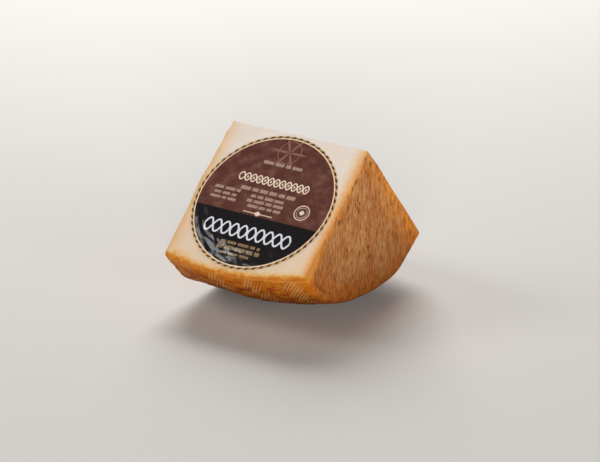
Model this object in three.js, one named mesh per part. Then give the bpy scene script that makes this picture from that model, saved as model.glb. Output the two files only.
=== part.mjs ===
// A quarter of a small wheel of smoked sheep cheese, lying on its curved rind.
//
// The wheel was pressed in a plaited basket mould, which left a barrel side with a
// woven print and two flat faces. Two knife cuts through the wheel's axis part the
// quarter from it. The quarter lies on the barrel side, so the wheel's axis is its
// top edge. A thin round label is stuck on the cut face that looks forwards.
//
// Millimetres, +Z up. X runs along the wheel's axis and -Y is forwards. The origin
// is on the ground, under the middle of the piece. Places on the wheel are given as
// x along the axis, a radius from it, and an angle round it that starts straight
// down and grows towards the front.

import * as THREE from 'three';
import { mergeVertices } from 'three/addons/utils/BufferGeometryUtils.js';

// ---- driving dimensions ----

const WHEEL_WIDTH = 86;          // between the wheel's two flat faces, at its axis
const RADIUS_LEFT = 84.7;        // at the rim of the left flat face
const RADIUS_RIGHT = 78.2;       // at the rim of the right flat face
const BELLY = 4.9;               // how far the side swells out past a straight cone
const BELLY_POWER = 1.8;         // 2 is a parabola; less is a little more pointed
const LEFT_LEAN = 2;             // the left face leans in by this much at its rim
const RIM_ROUND = 3;             // length of face and side that each rounded rim takes
const FRONT_CUT = THREE.MathUtils.degToRad(50.1);   // angle of the cut that looks forwards
const BACK_CUT = THREE.MathUtils.degToRad(-39.3);   // angle of the cut at the back

const SETTLED = 1.5;             // depth of the flat that the rind has settled on
const AXIS_X = -1.27;            // middle of the wheel's axis, from the origin
const AXIS_Y = 5.83;

const COLUMN_PITCH = 21.3;       // basket print: from one column of ridges to the next
const COLUMN_START = 28;         // x at which one of the columns begins
const RIDGE_SHARE = 0.52;        // share of the pitch that a column of ridges takes
const RIDGE_WIDTH = 5.4;         // one slanted ridge, along the axis
const RIDGE_SLANT = 0.56;        // how far a ridge moves along the axis for each mm round
const BAND_WIDTH = 5;            // one band between the columns, round the side
const BAND_TILT = 0.18;          // how far a band moves round for each mm along the axis
const PRINT_RADIUS = 86;         // radius at which the way round is measured
const PRINT_DEPTH = 0.5;         // from the top of a ridge to the groove beside it
const SIDE_STEP = 2;             // length of the side that each mesh step takes
const STEPS_ROUND = 66;          // mesh steps between the two cuts
const FACE_RINGS = [0, 3.5, 7, 13, 20, 29, 38, 47, 57, 68];   // radii of a flat face's mesh rings
const RIM_STEPS = 3;             // mesh steps over a rounded rim

const LABEL_RADIUS = 40.2;
const LABEL_THICKNESS = 0.3;
const LABEL_GAP = 0.1;           // between the cut face and the label's back
const LABEL_X = -0.7;            // label centre along the wheel's axis
const LABEL_FROM_AXIS = 41.6;    // label centre down the cut face
const SCALLOPS = 60;             // shallow lobes round the label's edge
const SCALLOP_DEPTH = 0.4;
const POINTS_PER_SCALLOP = 4;

// Where pressing, knife and shelf have left the wheel off its true form: a place on
// the wheel, how far the rind is pushed there along the axis and away from it, and
// how wide the swelling or hollow is.
const SWELLINGS = [
  { name: 'lump, lower left rim', x: -38, radius: 84, angle: 34, push: [-0.6, 1.4], width: 7 },
  { name: 'hollow beside it', x: -20, radius: 88, angle: 31, push: [0, -1.2], width: 8 },
  { name: 'corner of the left rim', x: -41, radius: 84, angle: 48, push: [0.4, -0.6], width: 8 },
  { name: 'swelling, left face', x: -42, radius: 38, angle: 50, push: [-1.3, 0], width: 11 },
  { name: 'swelling above it', x: -43, radius: 20, angle: 50, push: [-0.5, 0], width: 6 },
  { name: 'lip of the nick, top left', x: -43, radius: 7.2, angle: 50, push: [-0.7, 0], width: 3 },
  { name: 'nick, top left', x: -43, radius: 3.4, angle: 50, push: [0.7, 0], width: 2.4 },
  { name: 'lump, right rim', x: 42, radius: 78, angle: -19, push: [0.4, 1.3], width: 11 },
  { name: 'flat, right rim', x: 42, radius: 78, angle: 4, push: [0, -0.8], width: 11 },
  { name: 'flare, front right corner', x: 43, radius: 76, angle: 50, push: [3, 0], width: 15 },
  { name: 'dish, right face', x: 43, radius: 32, angle: -25, push: [-0.9, 0], width: 18 },
  { name: 'worn corner, top right', x: 43, radius: 0, angle: 0, push: [-1.6, 0], width: 11 },
  { name: 'sag of the underside', x: 12, radius: 85, angle: 3, push: [0, 1], width: 18 },
];

// ---- the wheel's form ----

const halfWidth = WHEEL_WIDTH / 2;

// Radius of the side, u running from -1 at the left rim to 1 at the right rim.
function sideRadius(u) {
  const cone = (RADIUS_LEFT * (1 - u) + RADIUS_RIGHT * (1 + u)) / 2;
  return cone + BELLY * (1 - Math.abs(u) ** BELLY_POWER);
}

// A point of the side in the plane through the axis: Vector2(x, radius).
function sidePoint(u) {
  const left = -halfWidth + LEFT_LEAN;
  return new THREE.Vector2(left + (halfWidth - left) * (u + 1) / 2, sideRadius(u));
}

// The side's widest radius, found by walking along it.
function widestRadius() {
  const radii = Array.from({ length: 201 }, (_, k) => sideRadius(k / 100 - 1));
  return Math.max(...radii);
}

// A rounded rim: a curve from one point to another, pulled towards the sharp corner.
function rim(from, corner, to) {
  return new THREE.QuadraticBezierCurve(from, corner, to).getPoints(RIM_STEPS);
}

// The outline that is carried round the axis: out along the left face, along the
// side and back in along the right face. Each entry has a point (x, radius) and
// tells whether the basket print shows there.
function outline() {
  const leftCorner = sidePoint(-1);
  const rightCorner = sidePoint(1);
  const leftApex = new THREE.Vector2(-halfWidth, 0);
  const rightApex = new THREE.Vector2(halfWidth, 0);
  const rimShare = 2 * RIM_ROUND / WHEEL_WIDTH;
  const onFace = (apex, corner, radius) => apex.clone().lerp(corner, radius / corner.y);
  const leftFace = FACE_RINGS.map((radius) => onFace(leftApex, leftCorner, radius));
  const rightFace = FACE_RINGS.map((radius) => onFace(rightApex, rightCorner, radius)).reverse();
  const leftRim = rim(onFace(leftApex, leftCorner, leftCorner.y - RIM_ROUND),
    leftCorner, sidePoint(-1 + rimShare));
  const rightRim = rim(sidePoint(1 - rimShare), rightCorner,
    onFace(rightApex, rightCorner, rightCorner.y - RIM_ROUND));
  const steps = Math.round((2 - 2 * rimShare) * halfWidth / SIDE_STEP);
  const side = [];
  for (let k = 1; k < steps; k += 1) {
    side.push(sidePoint(-1 + rimShare + (2 - 2 * rimShare) * k / steps));
  }
  const plain = (point) => ({ point, printed: 0 });
  return [
    ...leftFace.map(plain),
    ...leftRim.map(plain),
    ...side.map((point) => ({ point, printed: 1 })),
    ...rightRim.map(plain),
    ...rightFace.map(plain),
  ];
}

// Outward normal of the outline at entry k, from its two neighbours.
function outlineNormal(entries, k) {
  const before = entries[Math.max(k - 1, 0)].point;
  const after = entries[Math.min(k + 1, entries.length - 1)].point;
  const along = after.clone().sub(before).normalize();
  return new THREE.Vector2(-along.y, along.x);
}

// The place of a point of the wheel over the ground. The rind never passes the ground:
// what would is pressed flat on it.
function place(x, radius, angle) {
  const axisHeight = widestRadius() - SETTLED;
  return new THREE.Vector3(
    AXIS_X + x,
    AXIS_Y - radius * Math.sin(angle),
    Math.max(axisHeight - radius * Math.cos(angle), 0),
  );
}

// Height of the basket print: columns of slanted ridges, which begin and end like
// steps, take turns with columns of bands that lie nearly along the axis. Ridges,
// bands and columns are all rounded over.
function basketPrint(x, angle) {
  const round = (FRONT_CUT - angle) * PRINT_RADIUS;
  const ridge = (x + RIDGE_SLANT * round) / RIDGE_WIDTH;
  const middle = (Math.floor(ridge) + 0.5) * RIDGE_WIDTH - RIDGE_SLANT * round;
  const columns = (middle - COLUMN_START) / COLUMN_PITCH;
  const share = columns - Math.floor(columns);
  const band = (round - BAND_TILT * x) / BAND_WIDTH;
  const bend = (t) => Math.abs(Math.sin(Math.PI * t));
  const isRidge = share < RIDGE_SHARE;
  const across = isRidge ? bend(ridge) : bend(band);
  const lengthways = isRidge ? bend(share / RIDGE_SHARE)
    : bend((share - RIDGE_SHARE) / (1 - RIDGE_SHARE));
  return PRINT_DEPTH * (across * (0.5 + 0.5 * lengthways) - 0.5);
}

// How far the swellings push a point of the rind, each fading as a bell curve.
function swelling(x, radius, angle) {
  const here = new THREE.Vector3(x, radius * Math.sin(angle), radius * Math.cos(angle));
  const push = new THREE.Vector2();
  SWELLINGS.forEach((s) => {
    const at = THREE.MathUtils.degToRad(s.angle);
    const centre = new THREE.Vector3(s.x, s.radius * Math.sin(at), s.radius * Math.cos(at));
    const share = Math.exp(-((here.distanceTo(centre) / s.width) ** 2));
    push.addScaledVector(new THREE.Vector2(...s.push), share);
  });
  return push;
}

// One column of the rind, at one angle: the outline with its print and swellings.
// A point on the axis stays on it.
function column(entries, angle) {
  return entries.map(({ point, printed }, k) => {
    const print = printed * basketPrint(point.x, angle);
    const moved = point.clone()
      .addScaledVector(outlineNormal(entries, k), print)
      .add(swelling(point.x, point.y, angle));
    if (point.y === 0) moved.y = 0;
    return moved;
  });
}

// ---- the two pieces ----

// The quarter: columns of the rind from the back cut to the front cut, joined by
// strips of triangles, and closed by the two flat cut faces.
function wedgeGeometry() {
  const entries = outline();
  const rows = entries.length;
  const positions = [];
  for (let j = 0; j <= STEPS_ROUND; j += 1) {
    const angle = BACK_CUT + (FRONT_CUT - BACK_CUT) * j / STEPS_ROUND;
    column(entries, angle).forEach((p) => {
      positions.push(...place(p.x, p.y, angle).toArray());
    });
  }
  const backMiddle = positions.length / 3;
  const frontMiddle = backMiddle + 1;
  positions.push(...place(0, RADIUS_RIGHT / 2, BACK_CUT).toArray());
  positions.push(...place(0, RADIUS_RIGHT / 2, FRONT_CUT).toArray());

  const indices = [];
  for (let j = 0; j < STEPS_ROUND; j += 1) {
    for (let k = 0; k < rows - 1; k += 1) {
      const a = j * rows + k;
      const b = a + rows;
      indices.push(a, a + 1, b, b, a + 1, b + 1);
    }
  }
  const front = STEPS_ROUND * rows;
  for (let k = 0; k < rows; k += 1) {
    const next = (k + 1) % rows;
    indices.push(backMiddle, next, k);
    indices.push(frontMiddle, front + k, front + next);
  }

  const geometry = new THREE.BufferGeometry();
  geometry.setAttribute('position', new THREE.Float32BufferAttribute(positions, 3));
  geometry.setIndex(indices);
  return closed(geometry);
}

// Join points that coincide, as on the axis, and drop the triangles that this empties.
function closed(geometry) {
  const merged = mergeVertices(geometry, 1e-4);
  const old = merged.getIndex().array;
  const kept = [];
  for (let t = 0; t < old.length; t += 3) {
    const [a, b, c] = [old[t], old[t + 1], old[t + 2]];
    if (a !== b && b !== c && c !== a) kept.push(a, b, c);
  }
  merged.setIndex(kept);
  merged.computeVertexNormals();
  return merged;
}

// The label: a thin disc whose edge follows the lobes of its rope border.
function labelGeometry() {
  const count = SCALLOPS * POINTS_PER_SCALLOP;
  const edge = Array.from({ length: count }, (_, k) => {
    const turn = 2 * Math.PI * k / count;
    const lobe = Math.abs(Math.sin(turn * SCALLOPS / 2));
    const radius = LABEL_RADIUS - SCALLOP_DEPTH * (1 - lobe);
    return new THREE.Vector2(radius * Math.cos(turn), radius * Math.sin(turn));
  });
  const settings = { depth: LABEL_THICKNESS, bevelEnabled: false };
  return new THREE.ExtrudeGeometry(new THREE.Shape(edge), settings);
}

// ---- the part ----

const group = new THREE.Group();

const wedge = new THREE.Mesh(
  wedgeGeometry(),
  new THREE.MeshStandardMaterial({ color: 0xb9783f, roughness: 0.6, metalness: 0 }),
);
wedge.name = 'cheese_wedge';
group.add(wedge);

// The cut face's own frame: its origin is on the wheel's axis, Y points up the face
// to the axis and Z points straight out of the face.
const cutFace = new THREE.Group();
cutFace.position.copy(place(0, 0, 0));
cutFace.rotation.x = Math.PI / 2 - FRONT_CUT;
group.add(cutFace);

const label = new THREE.Mesh(
  labelGeometry(),
  new THREE.MeshStandardMaterial({ color: 0x4a2f2b, roughness: 0.3, metalness: 0 }),
);
label.name = 'label';
label.position.set(LABEL_X, -LABEL_FROM_AXIS, LABEL_GAP);
cutFace.add(label);

export default group;
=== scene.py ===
# %% [markdown]
# A quarter of a smoked sheep cheese.
#
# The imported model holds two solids: the quarter and the round label on its cut
# face. They have the right size, so they are loaded first as a fixed frame. Each
# is then replaced by a finer surface of the same form, which carries the basket
# print, the pitted rind and the label's creases.

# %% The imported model
import itertools
import math

import bmesh
import bpy
import numpy as np
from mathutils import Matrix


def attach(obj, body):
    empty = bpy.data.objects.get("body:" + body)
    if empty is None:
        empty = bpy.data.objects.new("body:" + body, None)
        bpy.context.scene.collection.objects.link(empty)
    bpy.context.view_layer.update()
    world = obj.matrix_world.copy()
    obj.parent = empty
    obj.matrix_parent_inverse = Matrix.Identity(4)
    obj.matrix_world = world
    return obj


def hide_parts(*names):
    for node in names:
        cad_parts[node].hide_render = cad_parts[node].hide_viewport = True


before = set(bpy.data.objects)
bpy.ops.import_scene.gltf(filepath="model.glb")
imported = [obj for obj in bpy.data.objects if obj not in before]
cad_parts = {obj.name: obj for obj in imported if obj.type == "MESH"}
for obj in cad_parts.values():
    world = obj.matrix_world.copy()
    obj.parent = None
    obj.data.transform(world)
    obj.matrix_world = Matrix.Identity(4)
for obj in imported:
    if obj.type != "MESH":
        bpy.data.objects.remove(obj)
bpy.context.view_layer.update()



def span(values):
    """Least and greatest of some values, rounded, for printing."""
    return round(float(np.min(values)), 2), round(float(np.max(values)), 2)


print("solids:", sorted(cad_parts))

# %% [markdown]
# The wheel's form.
#
# A pressed wheel is a barrel: two flat faces and a side that swells out between
# them. Two knife cuts through its axis part the quarter from it. Every point of
# the quarter is therefore given by three wheel coordinates: x along the axis, a
# radius from the axis, and an angle round it, which starts straight down and grows
# towards the front. These are the same driving dimensions, in millimetres, as the
# solids have, so the fine surface lies where the solid lies.

# %% Driving dimensions
MM = 0.001
WHEEL_WIDTH = 86.0
HALF_WIDTH = WHEEL_WIDTH / 2
RADIUS_LEFT = 84.7
RADIUS_RIGHT = 78.2
BELLY = 4.9
BELLY_POWER = 1.8
LEFT_LEAN = 2.0
RIM_ROUND = 3.0
FRONT_CUT = math.radians(50.1)
BACK_CUT = math.radians(-39.3)
# how far the weight of the quarter has pressed its underside flat
SETTLED = 1.5
# x of the middle of the axis and y of the axis in the frame
AXIS_X = -1.27
AXIS_Y = 5.83

# x, radius and angle of the middle, push along x and away from the axis, width
SWELLINGS = {
    "lump, lower left rim": (-38, 84, 34, -0.6, 1.4, 7),
    "hollow beside it": (-20, 88, 31, 0, -1.2, 8),
    "corner of the left rim": (-41, 84, 48, 0.4, -0.6, 8),
    "swelling, left face": (-42, 38, 50, -1.3, 0, 11),
    "swelling above it": (-43, 20, 50, -0.5, 0, 6),
    "lip of the nick, top left": (-43, 7.2, 50, -0.7, 0, 3),
    "nick, top left": (-43, 3.4, 50, 0.7, 0, 2.4),
    "lump, right rim": (42, 78, -19, 0.4, 1.3, 11),
    "flat, right rim": (42, 78, 4, 0, -0.8, 11),
    "flare, front right corner": (43, 76, 50, 3, 0, 15),
    "dish, right face": (43, 32, -25, -0.9, 0, 18),
    "worn corner, top right": (43, 0, 0, -1.6, 0, 11),
    "sag of the underside": (12, 85, 3, 0, 1, 18),
}


def side_radius(u):
    """Radius of the side: a straight cone between the two rims plus a belly that fades as |u| to a power."""
    cone = (RADIUS_LEFT * (1 - u) + RADIUS_RIGHT * (1 + u)) / 2
    return cone + BELLY * (1 - np.abs(u) ** BELLY_POWER)


def side_point(u):
    """(x, radius) of the side, u running from -1 at the left rim to 1 at the right rim."""
    left = -HALF_WIDTH + LEFT_LEAN
    return np.stack([left + (HALF_WIDTH - left) * (u + 1) / 2, side_radius(u)], axis=-1)


AXIS_HEIGHT = float(side_radius(np.linspace(-1, 1, 201)).max()) - SETTLED


def swelling(x, radius, angle):
    """Push (along x, away from the axis) of all swellings, each a bell curve of the distance to it."""
    push = np.zeros(np.broadcast(x, radius, angle).shape + (2,))
    for sx, sr, degrees, dx, dr, width in SWELLINGS.values():
        at = math.radians(degrees)
        gap = np.sqrt((x - sx) ** 2
                      + (radius * np.sin(angle) - sr * math.sin(at)) ** 2
                      + (radius * np.cos(angle) - sr * math.cos(at)) ** 2)
        push += np.exp(-(gap / width) ** 2)[..., None] * np.array([dx, dr])
    return push


def place(x, radius, angle):
    """Wheel coordinates to the frame in metres: the radius times the sine of the angle goes to the front
    and times its cosine down. What would pass the floor is pressed flat on it."""
    points = np.stack(np.broadcast_arrays(
        AXIS_X + x,
        AXIS_Y - radius * np.sin(angle),
        np.maximum(AXIS_HEIGHT - radius * np.cos(angle), 0)), axis=-1)
    return points * MM


print("axis height, mm:", round(AXIS_HEIGHT, 3))

# %% [markdown]
# Unevenness.
#
# Rind and paste are never even. The unevenness comes from value noise: random
# numbers on a lattice of cubes, blended between the corners. Two sizes added
# together already look grown. The random numbers are seeded, so each run gives the
# same cheese.

# %% Noise
LATTICE_NUMBERS = 8192
HASH = (73856093, 19349663, 83492791)


def smooth(t):
    """0 below 0, 1 above 1 and an S between them."""
    t = np.clip(t, 0, 1)
    return t * t * (3 - 2 * t)


def noise(points, cell, seed):
    """Value noise from -1 to 1: random numbers on a lattice with the given cell, blended by an S curve."""
    numbers = np.random.default_rng(seed).uniform(-1, 1, LATTICE_NUMBERS)
    scaled = points / np.asarray(cell, dtype=float)
    base = np.floor(scaled).astype(np.int64)
    share = smooth(scaled - base)
    total = np.zeros(points.shape[:-1])
    for corner in itertools.product((0, 1), repeat=3):
        key = np.zeros(points.shape[:-1], dtype=np.int64)
        weight = np.ones(points.shape[:-1])
        for axis, step in enumerate(corner):
            key ^= (base[..., axis] + step) * HASH[axis]
            weight = weight * (share[..., axis] if step else 1 - share[..., axis])
        total += weight * numbers[key % LATTICE_NUMBERS]
    return total


print("noise at 1000 points:", span(noise(np.random.default_rng(1).uniform(0, 50, (1000, 3)), 4.0, 2)))

# %% [markdown]
# The basket print.
#
# The wheel was pressed in a plaited basket, and its side keeps the print. Columns
# of slanted ribs, three of which end together like steps, take turns with columns
# of bands that lie along the axis. It could be sculpted or carried by a bump
# texture, but here it is a height over the side, worked out from the number of the
# rib or band, so the grooves also show at the outline. The print fades out just
# before a cut, at the rims, where the basket ended, and at the left end of the
# side, where the cheese had sagged away from the basket.

# %% Height of the print
MEAN_RADIUS = 86.0
RIB_PITCH = 1.8
RIB_SLANT = 0.56
RIBS_TOGETHER = 3
COLUMN_PITCH = 21.3
COLUMN_START = 28.0
RIB_SHARE = 0.52
BAND_PITCH = 2.5
BAND_TILT = 0.18
PRINT_DEPTH = 0.42
# mm from a cut within which the print fades, bare width along a rim and the width of the fade after it
CUT_FADE = 0.6
RIM_BARE = 2.0
RIM_FADE = 5.0
# x from which the print grows, how far it takes to show in full, and how much of it shows before
PRINT_FROM = -30.0
PRINT_GROWS = 6.0
FAINT_PRINT = 0.15
# height of the strands at which the rind keeps its plain form
PLAIN_LEVEL = 0.6


def bend(t):
    """One bulge per unit: the size of a sine over half a turn."""
    return np.abs(np.sin(np.pi * t))


def basket_print(x, angle):
    """Height of the print in mm, 1 where it is ribs and 0 where it is bands, and the number of the band.

    A rib is a line on which x grows as the way round shrinks. Three ribs together are in a column of
    ribs while their middle line is, so each three start and end square to their length."""
    around = (FRONT_CUT - angle) * MEAN_RADIUS
    rib = (x + RIB_SLANT * around) / RIB_PITCH
    middle = (np.floor(rib / RIBS_TOGETHER) + 0.5) * RIBS_TOGETHER * RIB_PITCH - RIB_SLANT * around
    share = (middle - COLUMN_START) / COLUMN_PITCH % 1
    is_rib = share < RIB_SHARE
    over = np.where(is_rib, bend(share / RIB_SHARE), bend((share - RIB_SHARE) / (1 - RIB_SHARE)))
    band = (around - BAND_TILT * x) / BAND_PITCH
    strands = np.where(is_rib, bend(rib), bend(band))
    height = PRINT_DEPTH * ((strands - PLAIN_LEVEL) * (0.5 + 0.5 * over) + 0.3 * (over - 0.5))
    return height, is_rib * 1.0, np.floor(band)


print("height of the print, mm:", span(basket_print(np.linspace(0, COLUMN_PITCH, 400), 0.2)[0]))

# %% [markdown]
# Relief of the rind.
#
# The flat faces were pressed on cloth and board: they have short upright streaks
# and a few small pits. The streaks are noise whose cells are much taller than wide.
# The pits are shallow bells at seeded places, with some at the places where the
# real one has a dark pit. Near the front cut the right face has creased where it
# turns into its rim, and the left end of the side is lumpy.

# %% Pits
PIT_COUNT = 34
PIT_DEPTH = 0.6
PIT_WIDTH = 0.75
# y and z of the real one's dark pits in mm, on the right face
SHOWN_PITS = [(-7.6, 72.5), (-5.5, 58.5), (-13.8, 61.6), (-14.9, 38.7), (5.1, 33.8), (5.2, 28.8),
              (18.4, 29.5), (-22.3, 55.7), (15.7, 67.7), (3.3, 82.1), (8.0, 78.1), (-10.3, 70.1),
              (-4.2, 56.6), (-6.9, 60.8), (-3.3, 60.2), (-5.0, 62.4)]

def pits(y, z, seed):
    """Depth of the pits from 0 to 1: the deepest bell at each place."""
    rng = np.random.default_rng(seed)
    middles = np.column_stack([rng.uniform(-60, 60, PIT_COUNT), rng.uniform(2, 84, PIT_COUNT)])
    sizes = PIT_WIDTH * rng.uniform(0.35, 0.8, PIT_COUNT)
    middles = np.vstack([middles, SHOWN_PITS])
    sizes = np.append(sizes, np.full(len(SHOWN_PITS), PIT_WIDTH))
    deepest = np.zeros(y.shape)
    for (py, pz), size in zip(middles, sizes):
        gap = ((y - py) / size) ** 2 + ((z - pz) / (1.3 * size)) ** 2
        deepest = np.maximum(deepest, size / PIT_WIDTH * np.exp(-gap))
    return deepest


print("pits on each face:", PIT_COUNT + len(SHOWN_PITS))

# %% Streaks, roughness, crease and lumps
# height in mm of the streaks of a face and of its roughness, and of the side's and its lumpy end's
STREAKED, FACE_ROUGH, SIDE_ROUGH, LUMPY_ROUGH = 0.07, 0.12, 0.10, 0.25
# x left of which the side grows lumpy, and over how many mm
LUMPY_UNTIL, LUMPY_GROWS = -24.0, 8.0
# radius of the crease, middle and reach of its turn in degrees, width and depth in mm
RIM_CREASE = (74.7, 38.0, 7.5, 0.9, 0.45)
# how dark the crease is, as a share of a pit
CREASE_DARK = 0.6


def rind_relief(x, radius, angle, on_face, printed):
    """Height of the rind over its plain form in mm, and the depth of its pits from 0 to 1.

    A face adds streaks and roughness and takes off its pits. The side adds the print, where printed is 1,
    and roughness that grows on its lumpy end. The crease is a bell across and a flat-topped one along it."""
    here = place(x, radius, angle) / MM
    streaks = noise(here, (3, 1.3, 5.0), 11) + 0.5 * noise(here, (3, 2.4, 9.0), 12)
    rough = noise(here, 7.0, 13) + 0.6 * noise(here, 2.6, 14)
    pit = pits(here[..., 1], here[..., 2], 15) * on_face
    face = STREAKED * streaks + FACE_ROUGH * rough - PIT_DEPTH * pit
    lumpy = smooth((LUMPY_UNTIL - x) / LUMPY_GROWS)
    side = printed * basket_print(x, angle)[0] + (SIDE_ROUGH + LUMPY_ROUGH * lumpy) * rough
    at, middle, reach, width, depth = RIM_CREASE
    crease = (np.exp(-((radius - at) / width) ** 2) * np.exp(-((np.degrees(angle) - middle) / reach) ** 4)
              * (0.7 + 0.3 * noise(here, 3.0, 17)) * (x > 0))
    pit = np.maximum(pit, CREASE_DARK * crease)
    return on_face * face + (1 - on_face) * side - depth * crease, pit


print("relief down the side, mm:", span(rind_relief(np.linspace(-40, 40, 800), 85.0, 0.3, 0.0, 1.0)[0]))

# %% [markdown]
# Patches of the quarter.
#
# The quarter is closed by six patches that share their edges: the side with its
# two rounded rims, two flat faces and two cut faces, with the axis as the edge on
# top. Each patch is a grid of two parameters. The side is a profile carried round
# the axis. A flat face is a sector, and a grid of rings would crowd at its tip, so
# it is filled as a square with one corner on the axis and the opposite one in the
# middle of the arc. A cut face is a set of closed rings that shrink to its middle,
# close together near the rind, where the colour changes fast.

# %% Profile and angles
# steps from a cut to the middle of the arc, along the side and over a rim, and how the first ones grow
HALF_STEPS = 140
SIDE_STEPS = 168
RIM_STEPS = 5
ANGLE_GROWTH = 1.2
# length of a rim on the side, where the whole side is 2 long
RIM_SHARE = 2 * RIM_ROUND / WHEEL_WIDTH
LEFT_CORNER = side_point(np.array(-1.0))
RIGHT_CORNER = side_point(np.array(1.0))
LEFT_APEX = np.array([-HALF_WIDTH, 0.0])
RIGHT_APEX = np.array([HALF_WIDTH, 0.0])


def face_point(apex, corner, radius):
    """(x, radius) on a flat face, on the straight line from the axis to the rim's sharp corner."""
    share = (np.asarray(radius) / corner[1])[..., None]
    return apex + share * (corner - apex)


def rounded(start, corner, end):
    """Quadratic Bezier curve from start to end, pulled towards the corner, as points (x, radius)."""
    t = np.linspace(0, 1, RIM_STEPS + 1)[:, None]
    return (1 - t) ** 2 * start + 2 * t * (1 - t) * corner + t ** 2 * end


def side_profile():
    """Points (x, radius) from the left face over both rims to the right one, and how far each is on a
    face: 1 where a rim starts on its face, falling along the rim to 0 on the side."""
    left = rounded(face_point(LEFT_APEX, LEFT_CORNER, LEFT_CORNER[1] - RIM_ROUND),
                   LEFT_CORNER, side_point(np.array(-1 + RIM_SHARE)))
    right = rounded(side_point(np.array(1 - RIM_SHARE)), RIGHT_CORNER,
                    face_point(RIGHT_APEX, RIGHT_CORNER, RIGHT_CORNER[1] - RIM_ROUND))
    u = np.linspace(-1 + RIM_SHARE, 1 - RIM_SHARE, SIDE_STEPS + 1)[1:-1]
    points = np.vstack([left, side_point(u), right])
    fade = smooth(np.linspace(0, 1, RIM_STEPS + 1))
    on_face = np.concatenate([1 - fade, np.zeros(len(u)), fade])
    return points, on_face


def profile_normals(points):
    """Outward normals of the profile: its direction at each point, turned by a right angle."""
    along = np.gradient(points, axis=0)
    along /= np.linalg.norm(along, axis=1)[:, None]
    return np.column_stack([-along[:, 1], along[:, 0]])


steps = (np.linspace(0, 1, HALF_STEPS + 1)) ** ANGLE_GROWTH
MIDDLE = (FRONT_CUT + BACK_CUT) / 2
BACK_ANGLES = BACK_CUT + (MIDDLE - BACK_CUT) * steps
FRONT_ANGLES = FRONT_CUT + (MIDDLE - FRONT_CUT) * steps
ANGLES = np.concatenate([BACK_ANGLES, FRONT_ANGLES[-2::-1]])
PROFILE, ON_FACE = side_profile()
NORMALS = profile_normals(PROFILE)
NORMALS[0] = [-1.0, 0.0]
NORMALS[-1] = [1.0, 0.0]
print("profile points:", len(PROFILE), " angles:", len(ANGLES))

# %% Points of the rind
# depth in mm of the softened edge along a cut, its width, and the width in which the relief fades there
EDGE_SOFT, EDGE_WIDTH, RELIEF_FADE = 0.25, 0.5, 1.5
# how many mm further the back cut counts at the axis, and the radius by which that has faded
BACK_CLEAR, BACK_CLEAR_UNTIL = 8.0, 40.0


def cut_distances(radius, angle):
    """Distances in mm from the front and the back cut: the radius times the sine of the angle to each."""
    return (radius * np.sin(np.clip(FRONT_CUT - angle, 0, math.pi / 2)),
            radius * np.sin(np.clip(angle - BACK_CUT, 0, math.pi / 2)))


def rind_points(x, radius, angle, on_face, printed, normal):
    """Rind in the frame: plain form, pushed by swellings and raised by its relief along the normal."""
    x, radius, angle = np.broadcast_arrays(x, radius, angle)
    height, pit = rind_relief(x, radius, angle, on_face, printed)
    from_front, from_back = cut_distances(radius, angle)
    from_cut = np.minimum(from_front, from_back)
    height = height * smooth(from_cut / RELIEF_FADE) - EDGE_SOFT * (1 - smooth(from_cut / EDGE_WIDTH))
    push = swelling(x, radius, angle)
    moved_x = x + push[..., 0] + height * normal[..., 0]
    moved_radius = radius + push[..., 1] + height * normal[..., 1]
    moved_radius = np.where(radius == 0, 0, moved_radius)
    # near the axis the real one is less stained along the back cut
    from_back = from_back + BACK_CLEAR * (1 - smooth(radius / BACK_CLEAR_UNTIL))
    return {"points": place(moved_x, moved_radius, angle), "on_face": on_face, "height": height,
            "pit": pit, "from_front": from_front, "from_back": from_back}


print("axis to the sharp rims, mm:", span([LEFT_CORNER[1], RIGHT_CORNER[1]]))

# %% The side
RIND, PASTE = 0, 1
# seeded shades that the bands take
BAND_TONES = 97


def side_patch():
    """The side and its rims: the profile carried round the axis. Each band has its own tone."""
    x, radius = PROFILE[:, 0][None, :], PROFILE[:, 1][None, :]
    angle = ANGLES[:, None]
    shape = (len(ANGLES), len(PROFILE))
    on_face = np.broadcast_to(ON_FACE[None, :], shape)
    away = np.minimum(*cut_distances(*np.broadcast_arrays(radius, angle)))
    from_rim = np.minimum(PROFILE[:, 0] - PROFILE[0, 0], PROFILE[-1, 0] - PROFILE[:, 0])[None, :]
    printed = smooth(away / CUT_FADE) * smooth((from_rim - RIM_BARE) / RIM_FADE)
    reached = smooth((PROFILE[:, 0] - PRINT_FROM) / PRINT_GROWS)[None, :]
    printed = printed * (FAINT_PRINT + (1 - FAINT_PRINT) * reached)
    normal = np.broadcast_to(NORMALS[None, :, :], shape + (2,))
    patch = rind_points(x, radius, angle, on_face, printed, normal)
    _, is_rib, band = basket_print(np.broadcast_to(x, shape), np.broadcast_to(angle, shape))
    tones = np.random.default_rng(16).uniform(-1, 1, BAND_TONES)
    return dict(patch, from_rim=np.zeros(shape), rib=is_rib * printed,
                tone=tones[band.astype(int) % BAND_TONES] * (1 - is_rib) * printed)


side = dict(side_patch(), material=RIND)
print("relief of the side, mm:", span(side["height"]))


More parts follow.
